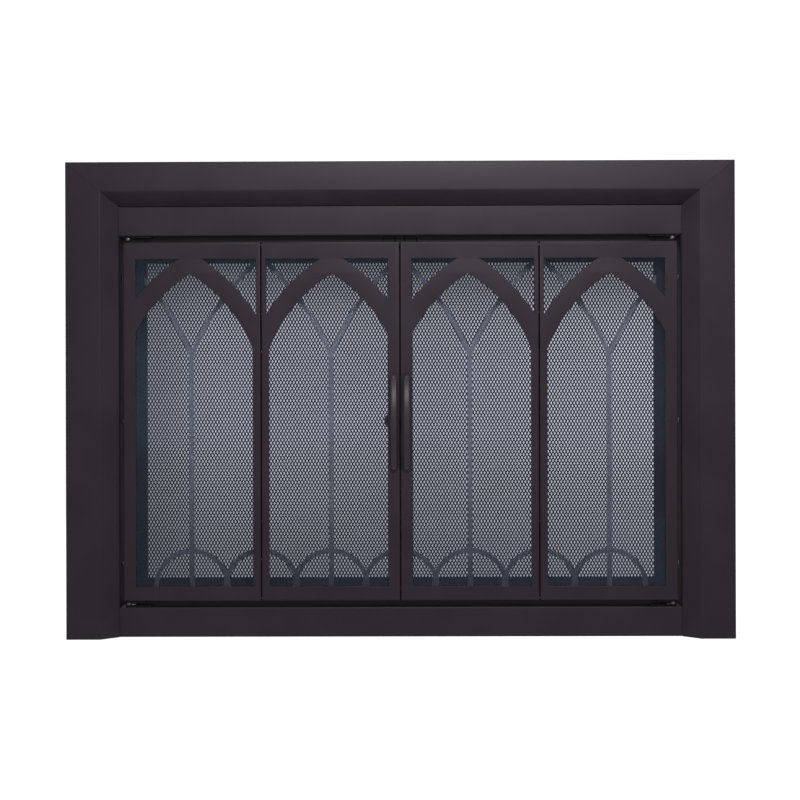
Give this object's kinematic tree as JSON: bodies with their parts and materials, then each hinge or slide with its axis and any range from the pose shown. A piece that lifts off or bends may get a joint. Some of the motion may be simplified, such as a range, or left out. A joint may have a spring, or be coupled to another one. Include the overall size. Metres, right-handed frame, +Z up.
{
  "type": "built-in fireplace screen with folding glass doors and mesh doors",
  "caption": "Built-in fireplace screen: mitred bronze surround, folding smoked-glass leaves with gothic arches, bow handles, and mesh doors with gothic tracery behind.",
  "frame": {"origin": "middle of the width, on the hearth, in the plane of the masonry face that the surround bears on", "axes": "+Z up, +X to the right as seen from the room, -Y toward the room, +Y into the fireplace"},
  "size_m": [1.105, 0.162, 0.789],
  "materials": {
    "bronze_coat": "satin dark bronze powder coat over folded sheet steel",
    "bronze_handle": "satin dark bronze powder coat, slightly polished by the hand",
    "smoked_glass": "clear-surfaced smoke-tinted tempered glass",
    "mesh_wire": "black woven steel wire",
    "tracery_grey": "satin pewter-grey stove enamel",
    "black_steel": "satin black stove enamel",
    "bright_steel": "turned steel",
    "zinc_plated": "dull zinc plate",
    "magnet": "matt black catch housing"
  },
  "bodies": {
    "frame": {"surround_left": "bronze_coat", "surround_right": "bronze_coat", "surround_top": "bronze_coat", "corner_brackets": "zinc_plated", "surround_screws": "zinc_plated", "header_rail": "bronze_coat", "sill_rail": "bronze_coat", "left_jamb": "black_steel", "right_jamb": "black_steel", "frame_screws": "zinc_plated", "stop_angles": "black_steel", "pivot_plates": "black_steel", "pivot_bushes": "bright_steel", "mesh_brackets": "black_steel", "leaf_magnets": "magnet", "mesh_magnet": "magnet", "lintel_straps": "zinc_plated", "lintel_bolts": "zinc_plated", "lintel_nuts": "zinc_plated", "hearth_brackets": "zinc_plated"},
    "left_outer_leaf": {"left_outer_frame": "bronze_coat", "left_outer_glass": "smoked_glass", "left_outer_clips": "zinc_plated", "left_pivots": "black_steel", "left_outer_hinges": "black_steel", "left_fold_pins": "bright_steel"},
    "left_inner_leaf": {"left_inner_frame": "bronze_coat", "left_inner_glass": "smoked_glass", "left_inner_clips": "zinc_plated", "left_inner_hinges": "black_steel", "left_handle": "bronze_handle", "left_handle_screws": "zinc_plated", "left_strike": "zinc_plated"},
    "right_outer_leaf": {"right_outer_frame": "bronze_coat", "right_outer_glass": "smoked_glass", "right_outer_clips": "zinc_plated", "right_pivots": "black_steel", "right_outer_hinges": "black_steel", "right_fold_pins": "bright_steel"},
    "right_inner_leaf": {"right_inner_frame": "bronze_coat", "right_inner_glass": "smoked_glass", "right_inner_clips": "zinc_plated", "right_inner_hinges": "black_steel", "right_handle": "bronze_handle", "right_handle_screws": "zinc_plated", "right_strike": "zinc_plated"},
    "left_mesh_door": {"left_mesh_frame": "bronze_coat", "left_mesh_tracery": "tracery_grey", "left_mesh_cloth": "mesh_wire", "left_mesh_retainers": "black_steel", "left_mesh_pins": "bright_steel", "mesh_knob": "black_steel", "mesh_knob_screw": "zinc_plated"},
    "right_mesh_door": {"right_mesh_frame": "bronze_coat", "right_mesh_tracery": "tracery_grey", "right_mesh_cloth": "mesh_wire", "right_mesh_retainers": "black_steel", "right_mesh_pins": "bright_steel"}
  },
  "joints": [
    {"name": "left_leaf_swing", "type": "hinge", "parent": "frame", "child": "left_outer_leaf", "pos_m": [-0.455, 0.002, 0.36], "axis": [0, 0, -1], "range_deg": [0, 100]},
    {"name": "left_leaf_fold", "type": "hinge", "parent": "left_outer_leaf", "child": "left_inner_leaf", "pos_m": [-0.2322, 0.012, 0.36], "axis": [0, 0, 1], "range_deg": [0, 50]},
    {"name": "left_mesh_swing", "type": "hinge", "parent": "frame", "child": "left_mesh_door", "pos_m": [-0.441, 0.0327, 0.36], "axis": [0, 0, -1], "range_deg": [0, 70]},
    {"name": "right_leaf_swing", "type": "hinge", "parent": "frame", "child": "right_outer_leaf", "pos_m": [0.455, 0.002, 0.36], "axis": [0, 0, 1], "range_deg": [0, 100]},
    {"name": "right_leaf_fold", "type": "hinge", "parent": "right_outer_leaf", "child": "right_inner_leaf", "pos_m": [0.2322, 0.012, 0.36], "axis": [0, 0, -1], "range_deg": [0, 50]},
    {"name": "right_mesh_swing", "type": "hinge", "parent": "frame", "child": "right_mesh_door", "pos_m": [0.441, 0.0327, 0.36], "axis": [0, 0, 1], "range_deg": [0, 70]}
  ],
  "couplings": [
    {"joint": "left_leaf_fold", "follows": "left_leaf_swing", "ratio": 0.5},
    {"joint": "left_mesh_swing", "follows": "left_leaf_swing", "ratio": 0.7},
    {"joint": "right_leaf_fold", "follows": "right_leaf_swing", "ratio": 0.5},
    {"joint": "right_mesh_swing", "follows": "right_leaf_swing", "ratio": 0.7}
  ]
}
